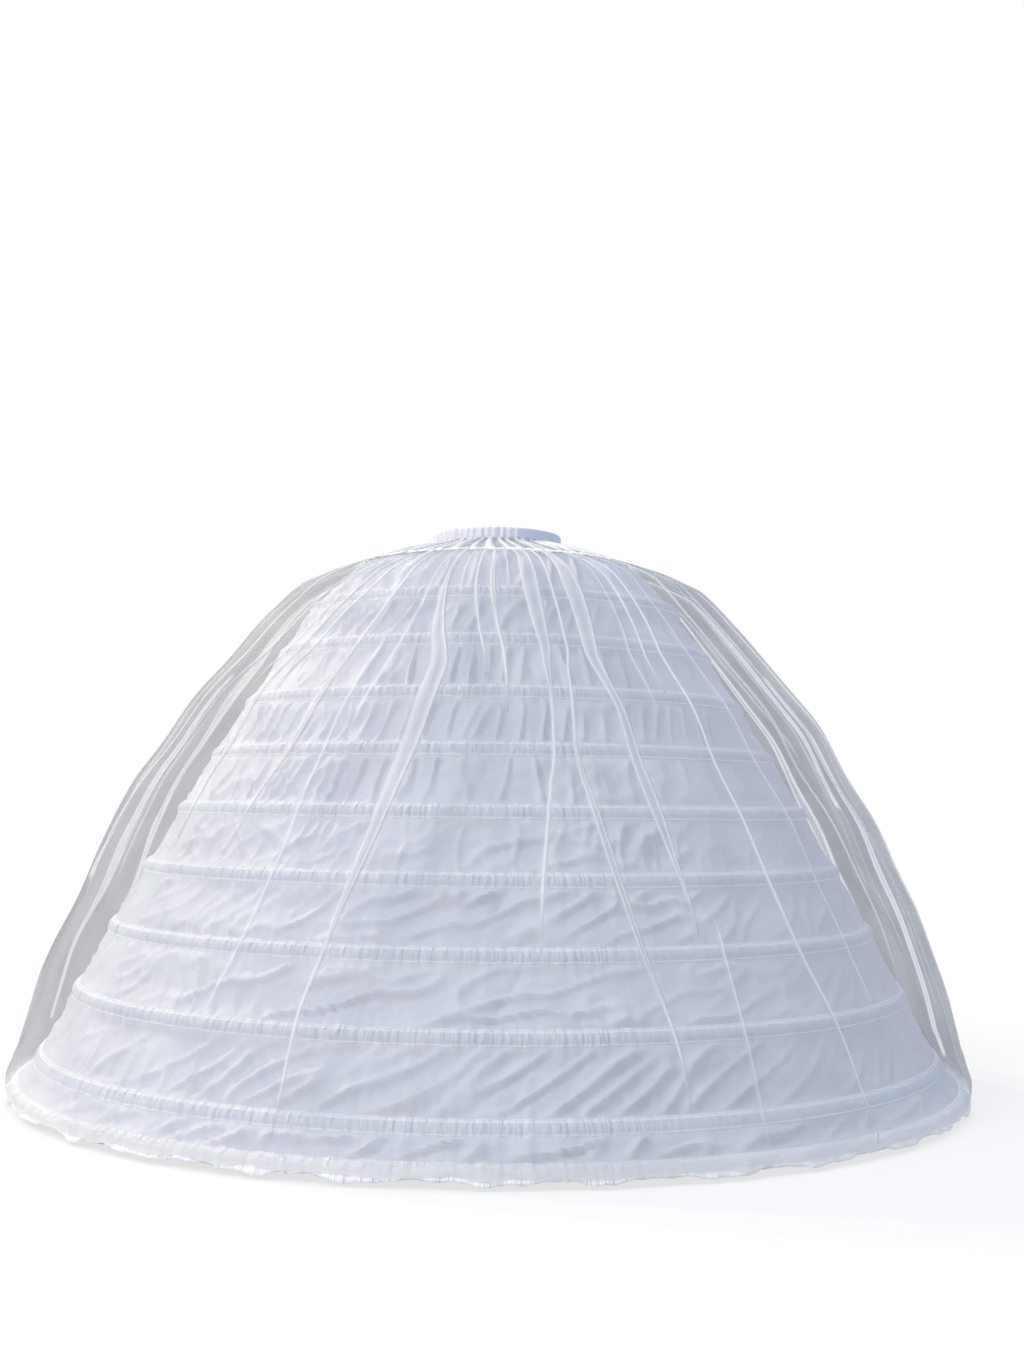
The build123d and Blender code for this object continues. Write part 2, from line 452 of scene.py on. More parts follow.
def band_material():
    """Closely woven cotton, a little worn, with one row of stitches near its lower edge; its smooth
    part is painted a shaded lavender.
    """
    material, tree, shader = start_material("waistband cotton", 0.6, 0.2)
    chart = cloth_chart(tree)
    woven = use(tree, weave, Place=chart, Thread=0.0006)
    worn = use(tree, crush, Place=skirt_place(tree), Size=0.02)
    colour = blend_colours(tree, worn.outputs["Tone"], (0.80, 0.81, 0.88, 1), (0.88, 0.88, 0.92, 1))
    # Painted shade: the smooth part without elastic is tinted a shaded lavender.
    colour = blend_colours(tree, mark_of(tree, "flat"), colour, (0.68, 0.70, 0.84, 1))
    row = use(tree, stitching, Place=chart, Line=0.0165, Width=0.0008, Pitch=0.003)
    colour = blend_colours(tree, row.outputs["Mask"], colour, (0.95, 0.95, 0.96, 1))
    normal = bump(tree, woven.outputs["Height"], 0.3, 0.0002)
    dress(tree, shader, colour, bump(tree, row.outputs["Mask"], 0.7, 0.0006, normal))
    return material


def elastic_material():
    """Ribbed elastic: fine rows of rubber core under white thread."""
    material, tree, shader = start_material("ribbed elastic", 0.7)
    place = skirt_place(tree)
    height = sockets_of(tree, place)["Z"]
    ribs = reckon(tree, "SINE", reckon(tree, "MULTIPLY", height, ELASTIC_RIBS))
    fuzz = noise(tree, place, 600.0, 2.0)
    tone = reckon(tree, "MULTIPLY_ADD", ribs, 0.3, fuzz["Fac"])
    colour = blend_colours(tree, tone, (0.72, 0.72, 0.74, 1), (0.88, 0.88, 0.87, 1))
    dress(tree, shader, colour, bump(tree, ribs, 0.6, 0.0004))
    return material


def boning_material():
    """Spring steel boning in a smooth white plastic coat, scuffed grey here and there."""
    material, tree, shader = start_material("white coated boning", 0.35)
    scuffs = noise(tree, skirt_place(tree), 160.0, 6.0, 0.65)
    mask = ramp(tree, scuffs["Fac"], 0.62, 0.74)
    colour = blend_colours(tree, mask, (0.86, 0.86, 0.85, 1), (0.55, 0.56, 0.57, 1))
    dress(tree, shader, colour, bump(tree, scuffs["Fac"], 0.15, 0.0003),
          ramp(tree, mask, 0.0, 1.0, 0.32, 0.55))
    return material


def steel_material():
    """Bare steel sleeve, brushed along its length and dimpled where it is crimped."""
    material, tree, shader = start_material("brushed steel sleeve", 0.35)
    shader.inputs["Metallic"].default_value = 1.0
    brushed = noise(tree, stretch(tree, skirt_place(tree), BRUSH_MARKS), 90.0, 4.0)["Fac"]
    colour = blend_colours(tree, brushed, (0.48, 0.48, 0.49, 1), (0.68, 0.68, 0.70, 1))
    dress(tree, shader, colour, bump(tree, brushed, 0.2, 0.0003),
          ramp(tree, brushed, 0.3, 0.7, 0.25, 0.45))
    return material


lining_cloth = taffeta("white taffeta lining", (0.64, 0.66, 0.73, 1), (0.72, 0.73, 0.78, 1),
                       0.09, 0.0016)
casing_cloth = taffeta("white taffeta casing", (0.62, 0.65, 0.74, 1), (0.71, 0.73, 0.79, 1),
                       0.02, 0.0008, stitches=CASING_STITCHES_AND_HIGHLIGHTS, gathers=0.005)
hem_cloth = taffeta("white taffeta hem", (0.78, 0.79, 0.82, 1), (0.87, 0.88, 0.89, 1),
                    0.024, 0.0010, stitches=CASING_STITCHES_AND_HIGHLIGHTS, gathers=0.005)
# The yoke's grey base is painted shade in the valleys of its gathers; its paler crests are painted
# highlight.
yoke_painted_shade_cloth = taffeta("white gathered yoke", (0.30, 0.31, 0.35, 1), (0.44, 0.45, 0.48, 1),
                     0.03, 0.0008, crests=(0.80, 0.80, 0.81, 1))
white_net = net_material()
band_cotton = band_material()


# -------- waistband and yoke

def make_waistband():
    """Folded strip round the waist, gathered into ribs by its elastic."""
    inner = WAIST_INNER
    outer = band_high.x
    top = band_high.z
    low = band_low.z
    section = [(inner, low), (inner, low * 0.6), (inner, low * 0.15), (inner + 0.0006, -0.0008),
               ((inner + outer) / 2, top), (outer - 0.0006, -0.0008), (outer, low * 0.15),
               (outer + 0.0002, low * 0.38), (outer + 0.0003, low * 0.6),
               (outer + 0.0004, low * 0.8),
               (outer + 0.0009, low * 0.95), (outer + 0.0005, low * 1.04)]
    ribbed = [0.3, 0.6, 0.6, 0.3, 0.0, 0.5, 0.9, 1.0, 1.0, 0.9, 0.7, 0.6]
    columns = 760
    turn = np.arange(columns) / columns * 360 - 180
    ribs = Ripple(56, 11)
    slow = Ripple(9, 12)
    first, last = FLAT_BAND
    smooth = fade(turn, first - 4, first + 4) * fade(turn, last + 4, last - 4)
    strength = 0.0021 * (1 - 0.94 * smooth)
    rows = []
    for (radius, height), share in zip(section, ribbed):
        out = share * strength * ribs.wave(turn)
        dip = (0.0007 * slow.wave(turn) + 0.0004 * ribs.wave(turn)) * (1 - smooth)
        rows.append(turned(turn, radius + out, height + dip))
    points = np.array(rows)
    lengths = run_along(np.array(section))
    across = lengths - lengths[-1] / 2
    along = np.arange(columns + 1) / columns * 2 * math.pi * outer
    chart = np.stack(np.meshgrid(along, across), axis=-1)
    # The flat mark also paints that part a shaded lavender in the material.
    marks = {"flat": np.broadcast_to(smooth, points.shape[:2])}
    piece = cloth_piece("waistband_cloth", points, chart, closed=True, marks=marks)
    settle(piece, band_cotton, "waistband")


def make_yoke():
    """Gathered strip that flares from the waistband out to the seam."""
    start = np.array((band_high.x - 0.0012, band_low.z + 0.002))
    knots = np.array([start, (band_high.x + 0.0022, band_low.z - 0.004),
                      (band_high.x + 0.034, band_low.z - 0.0125),
                      (band_high.x + 0.088, band_low.z - 0.0265),
                      (seam_high.x, side_line[0, 1])])
    length = run_along(knots)
    part = np.linspace(0, 1, 30)
    radius, height = [np.interp(part * length[-1], length, entry) for entry in knots.T]
    for line in (radius, height) * 3:
        line[1:-1] = (line[:-2] + 2 * line[1:-1] + line[2:]) / 4
    run, fall = np.gradient(radius), np.gradient(height)
    run, fall = run / np.hypot(run, fall), fall / np.hypot(run, fall)
    columns = 1080
    turn = (np.arange(columns) / columns * 360 - 180)[None, :]
    deep = Ripple(54, 21, 0.38)
    small = Ripple(74, 22, 0.35)
    at = part[:, None]
    lean = 5.0 * (at - 0.3) * cloud(turn, 0, 0.25, 23)
    wide = 0.0085 * fade(at, 0.0, 0.22) * (1 - 0.60 * fade(at, 0.4, 1.0))
    fine = 0.0022 * fade(at, 0.0, 0.12) * (1 - 0.75 * fade(at, 0.3, 0.9))
    out = wide * deep.crest(turn + lean) ** 1.3 + fine * small.crest(turn + 0.6 * lean) - 0.3 * wide
    out = out - 0.0035 * fade(at, 0.93, 1.0)    # drawn down into the seam
    points = turned(turn, radius[:, None] - out * fall[:, None],
                    height[:, None] + out * run[:, None])
    along = np.arange(columns + 1) / columns * 2 * math.pi * 0.19
    chart = np.stack(np.meshgrid(along, part * length[-1]), axis=-1)
    # The crest mark paints the gathers' crests paler than their valleys: painted highlight and
    # painted shade.
    stand = deep.crest(turn + lean) / deep.read(turn + lean)[1]
    piece = cloth_piece("yoke_gathers", points, chart, closed=True, marks={"crest": stand})
    settle(piece, yoke_painted_shade_cloth, "yoke")


# -------- lining

def liveliness(turn):
    """How much the cloth puckers: strong at the left and middle, weak at the right."""
    wrapped = np.mod(turn + 180, 360) - 180
    right = fade(wrapped, 8, 24) * fade(wrapped, 110, 80)
    behind = fade(wrapped, -62, -60.5) * fade(wrapped, 70, 60)
    return (1 - 0.8 * right) * (0.35 + 0.65 * behind)


casing_ripples = [Ripple(2 * math.pi * side_line[n + 1, 0] / 0.021, 40 + n)
                  for n in range(HOOPS + 1)]
wide_ripples = [Ripple(2 * math.pi * side_line[n + 1, 0] / 0.052, 60 + n)
                for n in range(HOOPS + 1)]


def strokes(turn, down, panel, seed):
    """Crisp creases of stiff cloth: each is a short sharp ridge between two hoops."""
    chance = np.random.default_rng(seed)
    low, high = panel
    total = np.zeros((len(down), len(turn)))
    for tier in range(HOOPS + 1):
        top = reach[tier] + STITCH_ROOM
        bottom = reach[tier + 1] - STITCH_ROOM
        middle_radius = (side_line[tier, 0] + side_line[tier + 1, 0]) / 2
        arc = math.radians(high - low) * middle_radius
        for _ in range(int(arc * (13 if tier else 5))):
            at = chance.uniform(low, high)
            spot = chance.uniform(top, bottom)
            right = fade(at, 18, 40) * (at < 90)
            lower = tier >= 4
            tilt = math.radians(chance.normal(32, 16) if lower else chance.normal(62, 22))
            if at < -22 and chance.random() < 0.55:
                tilt = math.pi - tilt
            size = chance.uniform(0.0025, 0.0075) * (1 - 0.75 * right) * chance.choice((1, 1, -1))
            half = chance.uniform(0.025, 0.095)
            width = chance.uniform(0.005, 0.014)
            reach_turn = math.degrees((half + 0.04) / middle_radius)
            columns = np.flatnonzero(np.abs(turn - at) < reach_turn)
            rows = np.flatnonzero(np.abs(down - spot) < half + 0.04)
            if not len(columns) or not len(rows):
                continue
            x = np.radians(turn[columns] - at)[None, :] * middle_radius
            y = (spot - down[rows])[:, None]
            along = x * math.cos(tilt) + y * math.sin(tilt)
            bend = chance.uniform(-2.5, 2.5) * along ** 2
            away = -x * math.sin(tilt) + y * math.cos(tilt) + bend
            shape = np.exp(-np.abs(away) / width) - 0.35 * np.exp(-(away / (2.6 * width)) ** 2)
            ends = np.clip(1 - (along / half) ** 2, 0, 1)
            total[np.ix_(rows, columns)] += size * shape * ends
    return total


def ridges(across, down, tilt, spread, size, seed):
    """Long crisp ridges that run at a tilt above level, about size metres apart."""
    chance = np.random.default_rng(seed)
    total = 0
    for _ in range(9):
        lean = tilt + math.radians(chance.normal(0, 1.5 * spread))
        count = math.pi / size * chance.uniform(0.40, 1.60)
        start = chance.uniform(0, 2 * math.pi)
        total = total + np.sin(count * (down * math.cos(lean) + across * math.sin(lean)) + start)
    total = total / 2.3
    return 1 - np.minimum(np.abs(total), 1)


# Creases of the lining: (tilt above level and its spread in degrees, metres from one to the
# next). They are the upright ones, the slanting, those that slant the other way, and the fine.
CREASES = [(78, 9, 0.042), (28, 10, 0.046), (118, 14, 0.05), (20, 16, 0.022)]


def tier_creases(turn, down, seed):
    """Creases between the hoops: upright ones high up and at the left, slanting ones low down."""
    total = np.zeros((len(down), len(turn)))
    wrapped = np.mod(turn + 180, 360) - 180
    left = fade(wrapped, -20, -38)
    right = fade(wrapped, 20, 42) * fade(wrapped, 120, 90)
    for tier in range(HOOPS + 1):
        rows = np.flatnonzero((down >= reach[tier]) & (down < reach[tier + 1]))
        if tier == HOOPS:
            rows = np.flatnonzero(down >= reach[tier])
        if not len(rows):
            continue
        d = down[rows][:, None]
        radius = (side_line[tier, 0] + side_line[tier + 1, 0]) / 2
        x = (np.radians(turn) * radius)[None, :]
        base = seed * 100 + tier * 7
        upright, slant, other, fine = [
            ridges(x, d, math.radians(tilt), spread, size, base + number)
            for number, (tilt, spread, size) in enumerate(CREASES)]
        low = min(max((tier - 3.5) / 2.5, 0), 1)
        share_slant = low * (1 - 0.55 * left)[None, :]
        share_up = (1 - low * 0.85) * (1 - 0.4 * left)[None, :]
        share_other = (0.25 + 0.6 * left)[None, :]
        calm = 0.70 + 0.30 * np.clip(cloud(turn[None, :], d + tier, 0.22, base + 4), -1, 1)
        part = 0.0135 * share_up * upright ** 1.7 + 0.0150 * share_slant * slant ** 1.9
        part = part + 0.0074 * share_other * other ** 1.8
        part = part + 0.0024 * share_slant * fine ** 2
        total[rows] = (part - 0.0040) * calm * (1 - 0.72 * right)[None, :]
    return total


def lining_out(turn, down, panel, seed):
    """How far the lining stands off its straight line from hoop to hoop."""
    t = turn[None, :]
    d = down[:, None]
    tier = np.clip(np.searchsorted(reach, d, side="right") - 1, 0, HOOPS)
    part = np.clip((d - reach[tier]) / (reach[tier + 1] - reach[tier]), 0, 1)
    above = d - reach[tier]
    below = reach[tier + 1] - d
    free = fade(np.minimum(above, below), CASING_HALF - 0.002, CASING_HALF + 0.014)
    lively = liveliness(t)
    out = -0.002 * np.sin(math.pi * part) * free
    cloud_part = 0.0030 * cloud(t, d, 0.16, seed)
    pucker = np.zeros(np.broadcast_shapes(t.shape, d.shape))
    for number in range(HOOPS + 1):
        near = np.abs(d - hoop_reach[number])
        close = np.exp(-np.maximum(near - CASING_HALF, 0) / 0.014) * (near < 0.09)
        far = np.exp(-np.maximum(near - CASING_HALF, 0) / 0.030) * (near < 0.12)
        pucker = pucker + 0.0011 * close * casing_ripples[number].wave(t)
        pucker = pucker + 0.0020 * far * free * wide_ripples[number].wave(t)
    out = out + pucker * lively
    inside = fade(np.minimum(t - panel[0], panel[1] - t), 0.2, 3.0)
    own = cloud_part + tier_creases(turn, down, seed) + strokes(turn, down, panel, seed + 1)
    sewn = fade(np.minimum(t - panel[0], panel[1] - t) * d, 0.45, 0.0)
    return out + free * own * inside - 0.0010 * free * sewn


def make_lining(name, panel, grid, seed):
    """A panel between two turns, made of a grid of so many rows and columns."""
    low, high = panel
    rows, columns = grid
    down = np.linspace(0.004, reach[-1] + 0.0135, rows)
    turn = np.linspace(low, high, columns)
    out = lining_out(turn, down, panel, seed) - 0.0006
    out = out - 0.0030 * fade(down, 0.03, 0.0)[:, None]
    radius, height = on_lining(down[:, None], out)
    points = turned(turn[None, :], radius, height)
    plain, _ = on_lining(down[:, None], 0 * out)
    along = np.radians(turn[None, :] - (low + high) / 2) * plain
    chart = np.stack(np.broadcast_arrays(along, down[:, None]), axis=-1)
    piece = cloth_piece(name + "_cloth", points, chart)
    settle(piece, lining_cloth, name)


# -------- casings and hem band

CASING_STEP = 0.0029        # between the columns of a casing
# Down across a casing, from edge to edge: (place from the hoop's middle, out from the lining)
CASING_ROWS = [(-0.0131, -0.0014), (-0.0122, 0.0016), (-0.0104, 0.0020), (-0.0088, 0.0012),
               (-0.0070, 0.0029), (-0.0048, 0.0040), (-0.0020, 0.0044), (0.0012, 0.0043),
               (0.0045, 0.0038), (0.0074, 0.0025), (0.0100, 0.0012), (0.0116, 0.0010),
               (0.0128, -0.0014)]


def make_casing(number):
    """Strip sewn over a hoop, puckered between its two rows of stitches."""
    hem = number == HOOPS
    name = "hem_band" if hem else "casing_%d" % (number + 1)
    centre = hoop_reach[number]
    radius = side_line[number + 1, 0]
    girth = 2 * math.pi * radius
    columns = int(girth / CASING_STEP)
    ends = math.degrees(0.001 / radius)
    turn = np.linspace(JOIN_TURN + ends, JOIN_TURN + 360 - ends, columns)
    lively = liveliness(turn)
    close = casing_ripples[number].wave(turn)
    quick = Ripple(girth / 0.0125, 80 + number).wave(turn)
    slow = wide_ripples[number].wave(turn)
    rows = []
    for across, stand in CASING_ROWS:
        inside = float(fade(abs(across), 0.0095, 0.0050))
        out = stand + 0.0011 * close * lively + inside * 0.0015 * quick * (0.1 + 0.9 * lively)
        edge = float(fade(abs(across), 0.0092, 0.0125))
        out = out + edge * 0.0004 * quick * lively
        shift = across + 0.0010 * slow * lively * math.copysign(edge, across)
        if hem and across > 0.0092:
            flare = Ripple(girth / 0.17, 95, 0.45).wave(turn)
            small = Ripple(girth / 0.062, 97, 0.45).wave(turn)
            shift = shift + edge * (0.0035 + 0.0055 * flare + 0.0022 * small + 0.0005 * quick)
            out = out + edge * 0.0020 * Ripple(girth / 0.040, 96).wave(turn)
        place, height = on_lining(centre + shift, out)
        rows.append(turned(turn, place, height))
    points = np.array(rows)
    along = np.radians(turn) * radius
    across = np.array([row[0] for row in CASING_ROWS])
    chart = np.stack(np.meshgrid(along, across), axis=-1)
    marks = {"lively": np.broadcast_to(lively, points.shape[:2])}
    piece = cloth_piece(name + "_cloth", points, chart, marks=marks)
    cloth = hem_cloth if hem else casing_cloth
    settle(piece, cloth, name)


# -------- net overlay

# Folds pressed into the net. Each is a list of (how far down, turn, width): how far down
# runs from 0 at the seam to 1 at the hem, and width is in millimetres.
FRONT_FOLDS = [
    [(0.05, -38, 3), (0.16, -43, 5), (0.30, -48, 8), (0.45, -56, 5), (0.60, -58, 3)],
    [(0.04, -31, 3), (0.12, -33, 6), (0.20, -36, 4), (0.32, -40, 3)],
    [(0.04, -24, 3), (0.14, -30, 5), (0.28, -38, 12), (0.42, -43, 16), (0.52, -46, 5),
     (0.60, -48, 3)],
    [(0.03, -15, 3), (0.12, -18, 5), (0.24, -24, 5), (0.38, -27.5, 14), (0.48, -30, 10),
     (0.58, -33, 3)],
    [(0.04, -10, 4), (0.17, -9, 12), (0.30, -8, 32), (0.41, -10.2, 36), (0.55, -13, 24),
     (0.70, -16.5, 9), (0.84, -19, 5), (0.96, -20.5, 3)],
    [(0.05, -6.5, 3), (0.14, -6, 5), (0.22, -4, 4), (0.32, -1.5, 3)],
    [(0.04, 0, 3), (0.15, -0.5, 12), (0.22, 1, 6), (0.30, 2.5, 4), (0.38, 3.5, 3)],
    [(0.04, 9, 22), (0.15, 9.6, 34), (0.25, 10, 26), (0.33, 9.7, 9), (0.42, 9.2, 4.5),
     (0.50, 8.6, 4.5), (0.57, 5.5, 4.5), (0.66, 2.0, 4), (0.72, 0.8, 3)],
    [(0.04, 13.5, 3), (0.14, 12.5, 5), (0.24, 12, 4), (0.34, 12.2, 3), (0.47, 12.0, 8),
     (0.59, 14, 15), (0.72, 16.4, 11), (0.84, 19, 5), (0.92, 20, 3)],
    [(0.04, 19, 12), (0.14, 18, 34), (0.26, 17.3, 28), (0.35, 18.6, 15), (0.44, 21.3, 18),
     (0.53, 24.5, 26), (0.62, 27.5, 10), (0.70, 29.5, 3)],
    [(0.04, 26, 3), (0.12, 26, 4), (0.24, 27, 4), (0.34, 28, 3)],
    [(0.04, 31, 4), (0.28, 32, 5), (0.52, 33.5, 5), (0.74, 36, 7), (0.89, 40, 5), (0.98, 42, 4)],
    [(0.06, 46, 3), (0.18, 47, 6), (0.35, 50, 12), (0.55, 52, 6), (0.72, 54, 4), (0.80, 54, 3)],
    [(0.10, 58, 3), (0.26, 60, 6), (0.46, 62, 12), (0.70, 66, 16), (0.90, 70, 9), (0.99, 71, 4)],
]
# Pressed lines, with nothing folded under: (where, turn) from top to bottom
FRONT_LINES = [
    [(0.03, -50), (0.2, -56), (0.45, -62), (0.70, -66)],
    [(0.03, -27), (0.18, -33), (0.34, -42)],
    [(0.25, -19), (0.42, -23), (0.60, -25), (0.86, -30)],
    [(0.03, -12.5), (0.16, -13.5), (0.30, -17), (0.44, -21)],
    [(0.03, -3.2), (0.12, -3.0), (0.20, -2.0)],
    [(0.03, 3.5), (0.10, 3.4), (0.18, 4.4)],
    [(0.03, 22.5), (0.14, 22.6), (0.26, 23.4), (0.40, 26.6)],
    [(0.70, 24), (0.84, 26), (0.93, 29.5), (0.99, 31)],
    [(0.03, 36), (0.16, 37), (0.36, 40), (0.60, 43), (0.85, 47)],
    [(0.03, 52), (0.2, 53.5), (0.42, 56), (0.80, 60)],
]
BACK_LINES = 16
BACK_FOLDS = 18
GAP = 0.0016            # between the layers of a fold
TURN_RUN = 0.0024       # from the middle of a fold's edge to the next column
FOLD_FOOT = 0.011       # the run on each side of a fold where the net rises to it
FOLD_SHARE = 0.82       # how much of its written width a fold keeps
LEAST_FOLD = 0.002
NET_STEP = 0.024        # between the columns of the plain net
# Across a pressed line: (place, level, whiteness, which thickens the net and paints a highlight)
PRESSED_LINE = [(-0.7, 0, 0), (-0.25, 0.4, 0.12), (0, 1.6, 0.55), (0.25, 0.4, 0.12), (0.7, 0, 0)]
# Across a fold, over, under and over again: (share of its half width, tucks in from the edge,
# feet out from the edge, level, whiteness, which thickens the net and paints a highlight)
FOLD_SECTION = [
    (-1, 0, -1, 0, 0), (-1, 0, -0.35, 0.6, 0), (-1, 0, 0, 0.95, 0.35), (-1, 1, 0, 1, 0.10),
    (0.3, 0, 0, 1, 0.08), (1, -1, 0, 0.9, 0.4), (1, 0, 0, 0.5, 0.9), (1, -1, 0, 0.1, 0.4),
    (0, 0, 0, 0, 0.08), (-1, 1, 0, -0.1, 0.4), (-1, 0, 0, -0.5, 0.9), (-1, 1, 0, -0.9, 0.4),
    (-0.3, 0, 0, -1, 0.08), (1, -1, 0, -1, 0.10), (1, 0, 0, -0.95, 0.35),
    (1, 0, 0.35, -0.6, 0), (1, 0, 1, 0, 0),
]
hem_waves = Ripple(70, 104, 0.36)


def back_folds():
    """Folds at the sides and back, in the same manner as the front ones."""
    chance = np.random.default_rng(7)
    made = []
    for number in range(BACK_FOLDS):
        at = 76 + (282 - 76) * (number + chance.uniform(0.25, 0.75)) / BACK_FOLDS
        start = chance.choice((0.04, 0.05, 0.12, 0.3))
        end = min(0.97, start + chance.uniform(0.35, 0.85))
        lean = chance.normal(0, 5)
        widest = chance.choice((8, 10, 16, 26))
        middle = start + (end - start) * chance.uniform(0.3, 0.6)
        made.append([(start, at, 3), ((start + middle) / 2, at + 0.3 * lean, 0.6 * widest),
                     (middle, at + 0.55 * lean, widest), ((middle + end) / 2, at + 0.8 * lean, 8),
                     (end, at + lean, 3)])
    return made


def back_lines():
    """Pressed lines at the sides and back, in the same manner as the front ones."""
    chance = np.random.default_rng(9)
    made = []
    for number in range(BACK_LINES):
        at = 80 + (280 - 80) * (number + chance.uniform(0.2, 0.8)) / BACK_LINES
        start = chance.choice((0.03, 0.03, 0.25, 0.4))
        end = min(0.98, start + chance.uniform(0.2, 0.7))
        lean = chance.normal(0, 4)
        made.append([(start, at), ((start + end) / 2, at + 0.4 * lean), (end, at + lean)])
    return made


def soft_read(value, knots, entries):
    """Reading between given points, with the corners rounded."""
    offsets = np.linspace(-0.035, 0.035, 5)
    return np.mean([np.interp(value + o, knots, entries) for o in offsets], axis=0)


def net_rows():
    """Rows of the net from 0 at the seam to 1 at the hem, closer together at both ends."""
    fine_top = np.linspace(0, 0.10, 14, endpoint=False)
    middle = np.linspace(0.10, 0.93, 80, endpoint=False)
    fine_low = np.linspace(0.93, 1.0, 16)
    return np.concatenate((fine_top, middle, fine_low))


def net_profile(part):
    """Place of the net's middle surface: metres down the lining line, and out from it."""
    down = part * reach[-1]
    out = NET_BILLOW * np.sqrt(np.clip(np.sin(math.pi * part), 0, 1))
    out = out * (1 - np.exp(-part / 0.045))
    out = np.maximum(out, 0.0072 * fade(part, 0.5, 0.9))
    down = down + 0.0125 * fade(part, 0.97, 1.0)
    out = out - 0.0055 * fade(part, 0.985, 1.0)
    return down, out


def middle_turn(fold):
    """The turn of a fold or line about a third of the way down, to put them in order."""
    down, at = np.array(fold, dtype=float)[:, :2].T
    return float(np.interp(0.35, down, at))


def fold_tracks(rows):
    """Each fold and pressed line, in order round the skirt: its turn, width and strength in
    every row of the net, and whether it is only a pressed line."""
    pressed_lines = [[(down, at, 0) for down, at in line] for line in FRONT_LINES + back_lines()]
    folds = sorted(FRONT_FOLDS + back_folds() + pressed_lines, key=middle_turn)
    centres = []
    widths = []
    shown = []
    for fold in folds:
        down, at, width = np.array(fold, dtype=float).T
        centres.append(soft_read(rows, down, at))
        widths.append(soft_read(rows, down, width) / 1000)
        begins = fade(rows, down[0] - 0.02, down[0] + 0.04) if down[0] > 0.06 else 1 + 0 * rows
        shown.append(begins * fade(rows, down[-1] + 0.02, down[-1] - 0.06))
    widths = np.maximum(FOLD_SHARE * np.array(widths), LEAST_FOLD)
    only_pressed = [max(entry[2] for entry in fold) == 0 for fold in folds]
    return np.array(centres), widths, np.array(shown), only_pressed


def keep_apart(centres, halves, margin):
    """Push neighbouring folds aside, a little at a time, until they no longer touch."""
    for _ in range(60):
        after = np.roll(centres, -1, axis=0)
        after[-1] += 360
        room = after - centres - halves - np.roll(halves, -1, axis=0) - 2 * margin - 0.6
        push = np.clip(-room, 0, None) / 2
        centres = centres - push + np.roll(push, 1, axis=0)
    return centres


def pressed_columns(centre, foot, seen):
    """Columns of a pressed line, each a (turn, layer, whiteness, single) down the net."""
    for place, level, white in PRESSED_LINE:
        single = 1 - 0.9 * fade(level, 0, 1) * seen
        yield centre + place * foot, level * GAP * seen, white * seen, single


def fold_columns(centre, width, seen, foot, spread):
    """Columns of a fold, whose three layers lie on one another, in the same form."""
    half = width / 2
    tuck = np.minimum(TURN_RUN, 0.6 * half)
    thin = fade(width, 0.009, 0.004)
    opened = np.where(seen > 0.02, 1.0, 0.0)
    closed_places = np.linspace(-1, 1, len(FOLD_SECTION))
    for (side, inwards, outwards, level, white), closed in zip(FOLD_SECTION, closed_places):
        place = side * half + inwards * tuck + outwards * foot
        closed_place = closed * (half + foot)
        turn = centre + (closed_place + (place - closed_place) * opened) * spread
        inner = (np.abs(place) < half + 0.001) * thin
        line = np.maximum(white * (1 - 0.6 * thin), 0.42 * inner) * seen
        layered = abs(level) > 0.3 or closed ** 2 < 0.9
        yield turn, level * GAP * opened, line, 1 - opened * layered


def plain_columns(begin, finish, spread):
    """Columns of the plain net between two folds."""
    count = max(3, int(np.mean((finish - begin) / spread) / NET_STEP))
    for step in range(1, count):
        nothing = np.zeros(len(begin))
        yield begin + (finish - begin) * step / count, nothing, nothing, nothing + 1


def net_columns(rows, radius):
    """All columns round the net: grids of turns, layers, whiteness and single cloth."""
    centres, widths, shown, only_pressed = fold_tracks(rows)
    halves = np.degrees(widths / 2 / radius)
    foot = FOLD_FOOT * (0.5 + 0.5 * fade(rows, 0.0, 0.3))
    margin = np.degrees(foot / radius)
    spread = np.degrees(1 / radius)
    centres = keep_apart(centres, halves, margin)
    columns = []
    for number, centre in enumerate(centres):
        if only_pressed[number]:
            columns += pressed_columns(centre, foot * spread, shown[number])
        else:
            columns += fold_columns(centre, widths[number], shown[number], foot, spread)
        follow = (number + 1) % len(centres)
        whole_turn = 360 if follow == 0 else 0
        begin = centre + halves[number] + margin
        finish = centres[follow] - halves[follow] - margin + whole_turn
        columns += plain_columns(begin, finish, spread)
    return [np.array(kind).T for kind in zip(*columns)]


def net_relief(turn, part, out):
    """How far the net stands out, with its gathers, pleats, falls and hem waves, and how
    sharp the gathers are below the seam, a mask that paints their crests near-white as a highlight."""
    lean = 4.0 * cloud(turn * 0, part, 0.5, 105)
    seam = fade(part, 0.0, 0.025) * fade(part, 0.30, 0.03)
    left_side = np.clip(-np.sin(np.radians(turn)), 0, 1)
    out = out * (1 - 0.09 * left_side ** 2)
    out = out + 0.006 * np.sin(math.pi * part) ** 0.7 * cloud(turn, part * 1.1, 0.5, 106)
    crest = Ripple(54, 101, 0.40).crest(turn + 0.5 * lean)
    out = out + seam * 0.0045 * crest ** 1.4
    pleats = fade(part, 0.03, 0.15) * fade(part, 1.0, 0.6)
    out = out + 0.0085 * pleats * Ripple(26, 102, 0.40).crest(turn + lean) ** 1.5
    falls = fade(part, 0.35, 0.7) * fade(part, 1.0, 0.93)
    out = out + 0.0060 * falls * Ripple(27, 103, 0.36).wave(turn - 0.6 * lean)
    out = out + 0.0016 * fade(part, 0.90, 0.97) * (1 + hem_waves.wave(turn))
    return out, seam * np.clip(crest * 1.25 - 0.66, 0, 0.6) / 0.6


